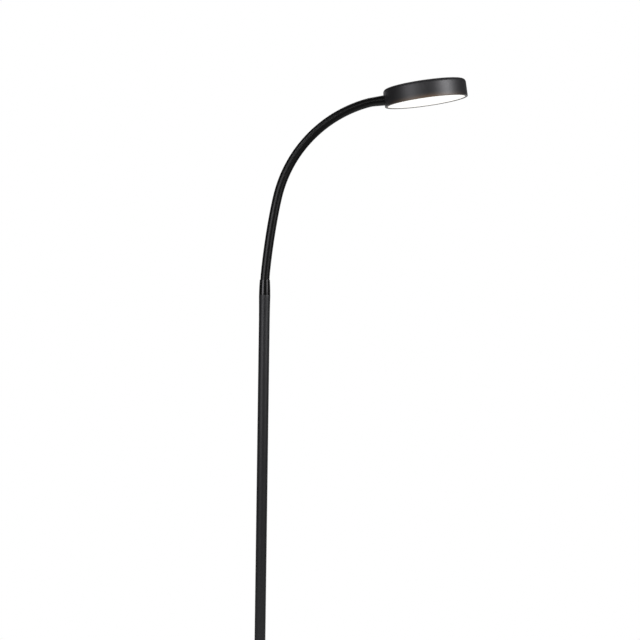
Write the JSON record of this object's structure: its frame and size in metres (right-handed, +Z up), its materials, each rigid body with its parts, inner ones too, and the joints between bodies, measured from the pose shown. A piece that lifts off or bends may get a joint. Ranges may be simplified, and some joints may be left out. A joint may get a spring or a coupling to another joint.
{
  "type": "floor lamp",
  "caption": "Reading floor lamp: round weighted base, straight pole and bendable sleeved gooseneck carrying a flat round light with an opal face and a push button on top.",
  "frame": {"origin": "centre of the base's resting face, on the pole's axis", "axes": "+Z up along the pole, +X the way the neck reaches at rest, away from where the lead leaves the base"},
  "size_m": [0.4647, 0.23, 1.4533],
  "materials": {
    "satin_paint": "satin",
    "gloss_paint": "gloss",
    "head_paint": "satin",
    "sleeve_vinyl": "gloss",
    "weight_iron": "matte",
    "pad_rubber": "matte",
    "grommet_rubber": "matte",
    "lead_jacket": "satin",
    "wire_jacket": "satin",
    "fitting_steel": "satin",
    "screw_steel": "satin",
    "link_steel": "satin",
    "carrier_aluminium": "satin",
    "white_film": "matte",
    "clear_acrylic": "gloss",
    "opal_acrylic": "satin",
    "strip_white": "matte",
    "led_phosphor": "satin",
    "board_laminate": "satin",
    "connector_nylon": "matte",
    "switch_plastic": "matte",
    "button_plastic": "satin"
  },
  "bodies": {
    "stand": {"base_pad": "pad_rubber", "base_weight": "weight_iron", "base_cover": "satin_paint", "lead_grommet": "grommet_rubber", "pole_socket": "fitting_steel", "socket_screws": "screw_steel", "foot_ring": "satin_paint", "lower_tube": "satin_paint", "upper_tube": "satin_paint", "tube_inserts": "fitting_steel", "tube_joiner": "fitting_steel", "pole_lead": "lead_jacket", "neck_collar": "gloss_paint", "neck_root": "fitting_steel", "root_nut": "screw_steel", "neck_sleeve": "sleeve_vinyl", "neck_lead": "lead_jacket"},
    "link_01": {"neck_link_01": "link_steel"},
    "link_02": {"neck_link_02": "link_steel"},
    "link_03": {"neck_link_03": "link_steel"},
    "link_04": {"neck_link_04": "link_steel"},
    "link_05": {"neck_link_05": "link_steel"},
    "link_06": {"neck_link_06": "link_steel"},
    "link_07": {"neck_link_07": "link_steel"},
    "link_08": {"neck_link_08": "link_steel"},
    "link_09": {"neck_link_09": "link_steel"},
    "link_10": {"neck_link_10": "link_steel"},
    "link_11": {"neck_link_11": "link_steel"},
    "link_12": {"neck_link_12": "link_steel"},
    "link_13": {"neck_link_13": "link_steel"},
    "link_14": {"neck_link_14": "link_steel"},
    "link_15": {"neck_link_15": "link_steel"},
    "light": {"neck_tip": "fitting_steel", "tip_washer": "screw_steel", "tip_nut": "screw_steel", "head_housing": "head_paint", "light_carrier": "carrier_aluminium", "carrier_screws": "screw_steel", "reflector_film": "white_film", "light_guide": "clear_acrylic", "led_strip": "strip_white", "leds": "led_phosphor", "diffuser": "opal_acrylic", "control_board": "board_laminate", "board_screws": "screw_steel", "board_connectors": "connector_nylon", "switch_body": "switch_plastic", "head_lead": "lead_jacket", "led_wire": "wire_jacket"},
    "button": {"push_button": "button_plastic", "switch_plunger": "switch_plastic"}
  },
  "joints": [
    {"name": "neck_bend_01", "type": "hinge", "parent": "stand", "child": "link_01", "pos_m": [0, 0, 1.103], "axis": [0.0006, 1, 0.0004], "range_deg": [-16, 5], "deforming": ["neck_sleeve", "neck_lead"]},
    {"name": "neck_swing_02", "type": "hinge", "parent": "link_01", "child": "link_02", "pos_m": [0.00235, 0, 1.12839], "axis": [0.9947, 0, -0.1025], "range_deg": [-17, 17]},
    {"name": "neck_bend_03", "type": "hinge", "parent": "link_02", "child": "link_03", "pos_m": [0.00523, 0, 1.15373], "axis": [0.0006, 1, 0.0004], "range_deg": [-19, 16]},
    {"name": "neck_bend_04", "type": "hinge", "parent": "link_03", "child": "link_04", "pos_m": [0.00863, 0, 1.179], "axis": [0.0006, 1, 0.0004], "range_deg": [-19, 16]},
    {"name": "neck_swing_05", "type": "hinge", "parent": "link_04", "child": "link_05", "pos_m": [0.01254, 0, 1.2042], "axis": [0.9865, 0, -0.1639], "range_deg": [-17, 17]},
    {"name": "neck_bend_06", "type": "hinge", "parent": "link_05", "child": "link_06", "pos_m": [0.01698, 0, 1.22931], "axis": [0.0006, 1, 0.0004], "range_deg": [-20, 15]},
    {"name": "neck_bend_07", "type": "hinge", "parent": "link_06", "child": "link_07", "pos_m": [0.02234, 0, 1.25423], "axis": [0.0006, 1, 0.0004], "range_deg": [-24, 11]},
    {"name": "neck_swing_08", "type": "hinge", "parent": "link_07", "child": "link_08", "pos_m": [0.03033, 0, 1.27843], "axis": [0.9301, 0, -0.3674], "range_deg": [-16, 16]},
    {"name": "neck_bend_09", "type": "hinge", "parent": "link_08", "child": "link_09", "pos_m": [0.04104, 0, 1.30156], "axis": [0.0006, 1, 0.0004], "range_deg": [-24, 11]},
    {"name": "neck_bend_10", "type": "hinge", "parent": "link_09", "child": "link_10", "pos_m": [0.05433, 0, 1.32331], "axis": [0.0006, 1, 0.0004], "range_deg": [-24, 11]},
    {"name": "neck_swing_11", "type": "hinge", "parent": "link_10", "child": "link_11", "pos_m": [0.07002, 0, 1.34339], "axis": [0.7513, 0, -0.66], "range_deg": [-16, 16]},
    {"name": "neck_bend_12", "type": "hinge", "parent": "link_11", "child": "link_12", "pos_m": [0.08791, 0, 1.36154], "axis": [0.0006, 1, 0.0004], "range_deg": [-24, 11]},
    {"name": "neck_bend_13", "type": "hinge", "parent": "link_12", "child": "link_13", "pos_m": [0.10777, 0, 1.37752], "axis": [0.0006, 1, 0.0004], "range_deg": [-24, 11]},
    {"name": "neck_swing_14", "type": "hinge", "parent": "link_13", "child": "link_14", "pos_m": [0.12932, 0, 1.39112], "axis": [0.4842, 0, -0.875], "range_deg": [-16, 16]},
    {"name": "neck_bend_15", "type": "hinge", "parent": "link_14", "child": "link_15", "pos_m": [0.15229, 0, 1.40216], "axis": [0.0006, 1, 0.0004], "range_deg": [-24, 11]},
    {"name": "neck_bend_16", "type": "hinge", "parent": "link_15", "child": "light", "pos_m": [0.17638, 0, 1.41049], "axis": [0.0006, 1, 0.0004], "range_deg": [-24, 3]},
    {"name": "button_press", "type": "slide", "parent": "light", "child": "button", "axis": [0.1478, 0, -0.989], "range_m": [0, 0.001], "stiffness_N_per_m": 1500, "springref_m": -0.001}
  ]
}
